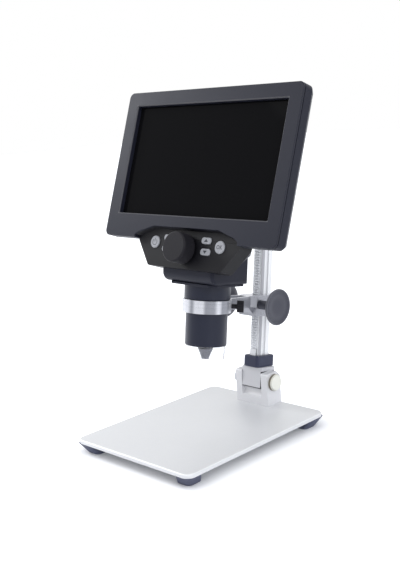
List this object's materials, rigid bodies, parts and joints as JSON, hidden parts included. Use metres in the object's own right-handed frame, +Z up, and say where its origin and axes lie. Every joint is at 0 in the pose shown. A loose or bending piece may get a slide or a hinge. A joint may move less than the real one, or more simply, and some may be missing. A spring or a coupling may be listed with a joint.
{
  "type": "lcd digital microscope",
  "caption": "Bench microscope with a display head and lens barrel in a clamping ring, raised by rack and pinion on a tilting pole over a flat base plate.",
  "frame": {"origin": "on the table under the middle of the whole object's box", "axes": "+X to the user's right, +Y to the back, +Z up; the display faces -Y and leans back"},
  "size_m": [0.1798, 0.1802, 0.2686],
  "materials": {
    "satin_plate": "satin bead-blasted anodised aluminium",
    "foot_rubber": "moulded rubber",
    "cast_aluminium": "tumbled cast aluminium",
    "pole_aluminium": "drawn and anodised aluminium",
    "ring_aluminium": "turned aluminium",
    "steel": "zinc-plated steel",
    "collar_plastic": "moulded plastic",
    "knob_plastic": "fine-grained moulded plastic",
    "case_plastic": "charcoal textured plastic",
    "barrel_paint": "satin navy-black plastic",
    "key_plastic": "silver-grey painted plastic",
    "screen_glass": "black-backed cover glass",
    "panel": "display module",
    "circuit_board": "solder mask",
    "cell_wrap": "foil wrap",
    "clear_plastic": "clear moulded plastic",
    "lens_glass": "coated glass",
    "led_white": "white LED",
    "nylon": "black nylon"
  },
  "bodies": {
    "base": {"base_plate": "satin_plate", "foot_front_left": "foot_rubber", "foot_front_right": "foot_rubber", "foot_rear_left": "foot_rubber", "foot_rear_right": "foot_rubber", "foot_screws": "steel", "hinge_bracket": "cast_aluminium", "bracket_screws": "steel", "hinge_bolt": "steel", "hinge_washer": "steel", "hinge_nut": "steel"},
    "stand": {"pivot_block": "cast_aluminium", "pole_collar": "collar_plastic", "pole": "pole_aluminium", "pole_cap": "collar_plastic", "rack": "ring_aluminium"},
    "slider": {"slider_arm": "cast_aluminium", "pinion_bush": "nylon", "slide_pad": "nylon", "pad_screws": "steel"},
    "height_drive": {"pinion_shaft": "steel", "height_knob_left": "knob_plastic", "height_knob_right": "knob_plastic"},
    "ring_clamp": {"clamp_screw": "knob_plastic", "clamp_knob": "knob_plastic"},
    "head": {"front_bezel": "case_plastic", "rear_cover": "case_plastic", "display_glass": "screen_glass", "lcd_panel": "panel", "main_board": "circuit_board", "battery": "cell_wrap", "key_board": "circuit_board", "key_switches": "nylon", "io_board": "circuit_board", "usb_socket": "steel", "card_socket": "steel", "case_screws": "steel", "camera_housing": "case_plastic", "barrel_flange": "case_plastic", "barrel": "barrel_paint", "barrel_collar": "barrel_paint", "hood": "clear_plastic", "led_board": "circuit_board", "leds": "led_white", "sensor_board": "circuit_board", "image_sensor": "nylon"},
    "focus_carriage": {"lens_carriage": "barrel_paint", "lens_cone": "barrel_paint", "front_lens": "lens_glass", "field_lens": "lens_glass"},
    "focus_drive": {"focus_shaft": "steel", "focus_knob": "knob_plastic"},
    "power_button_cap": {"power_button": "key_plastic"},
    "ok_button_cap": {"ok_button": "key_plastic"},
    "menu_button_cap": {"menu_button": "key_plastic"},
    "mode_button_cap": {"mode_button": "key_plastic"},
    "up_button_cap": {"up_button": "key_plastic"},
    "down_button_cap": {"down_button": "key_plastic"}
  },
  "joints": [
    {"name": "stand_tilt", "type": "hinge", "parent": "base", "child": "stand", "pos_m": [0, 0.05569, 0.0298], "axis": [-1, 0, 0], "range_deg": [-8.44, 21.56]},
    {"name": "height_slide", "type": "slide", "parent": "stand", "child": "slider", "axis": [0, 0.1468, 0.9892], "range_m": [-0.0265, 0.105]},
    {"name": "height_turn", "type": "hinge", "parent": "slider", "child": "height_drive", "pos_m": [0, 0.05246, 0.09508], "axis": [1, 0, 0], "range_deg": [-1240, 320]},
    {"name": "clamp_turn", "type": "hinge", "parent": "slider", "child": "ring_clamp", "pos_m": [0, 0.00127, 0.1045], "axis": [0.766, 0.6358, -0.0943], "range_deg": [0, 360]},
    {"name": "head_swivel", "type": "hinge", "parent": "slider", "child": "head", "pos_m": [0, 0.002, 0.10944], "axis": [0, 0.1468, 0.9892], "range_deg": [-60, 60]},
    {"name": "focus_slide", "type": "slide", "parent": "head", "child": "focus_carriage", "axis": [0, 0.1468, 0.9892], "range_m": [0, 0.008]},
    {"name": "focus_turn", "type": "hinge", "parent": "head", "child": "focus_drive", "pos_m": [0, -0.02213, 0.15296], "axis": [0, -0.9393, 0.343], "range_deg": [0, 114]},
    {"name": "power_button_press", "type": "slide", "parent": "head", "child": "power_button_cap", "axis": [0, 0.9393, -0.343], "range_m": [0, 0.0005], "stiffness_N_per_m": 1500, "springref_m": -0.0006},
    {"name": "ok_button_press", "type": "slide", "parent": "head", "child": "ok_button_cap", "axis": [0, 0.9393, -0.343], "range_m": [0, 0.0005], "stiffness_N_per_m": 1500, "springref_m": -0.0006},
    {"name": "menu_button_press", "type": "slide", "parent": "head", "child": "menu_button_cap", "axis": [0, 0.9393, -0.343], "range_m": [0, 0.0005], "stiffness_N_per_m": 1500, "springref_m": -0.0006},
    {"name": "mode_button_press", "type": "slide", "parent": "head", "child": "mode_button_cap", "axis": [0, 0.9393, -0.343], "range_m": [0, 0.0005], "stiffness_N_per_m": 1500, "springref_m": -0.0006},
    {"name": "up_button_press", "type": "slide", "parent": "head", "child": "up_button_cap", "axis": [0, 0.9393, -0.343], "range_m": [0, 0.0005], "stiffness_N_per_m": 1500, "springref_m": -0.0006},
    {"name": "down_button_press", "type": "slide", "parent": "head", "child": "down_button_cap", "axis": [0, 0.9393, -0.343], "range_m": [0, 0.0005], "stiffness_N_per_m": 1500, "springref_m": -0.0006}
  ],
  "couplings": [
    {"joint": "height_turn", "follows": "height_slide", "rad_per_m": -204.08},
    {"joint": "focus_turn", "follows": "focus_slide", "rad_per_m": 244.88}
  ]
}
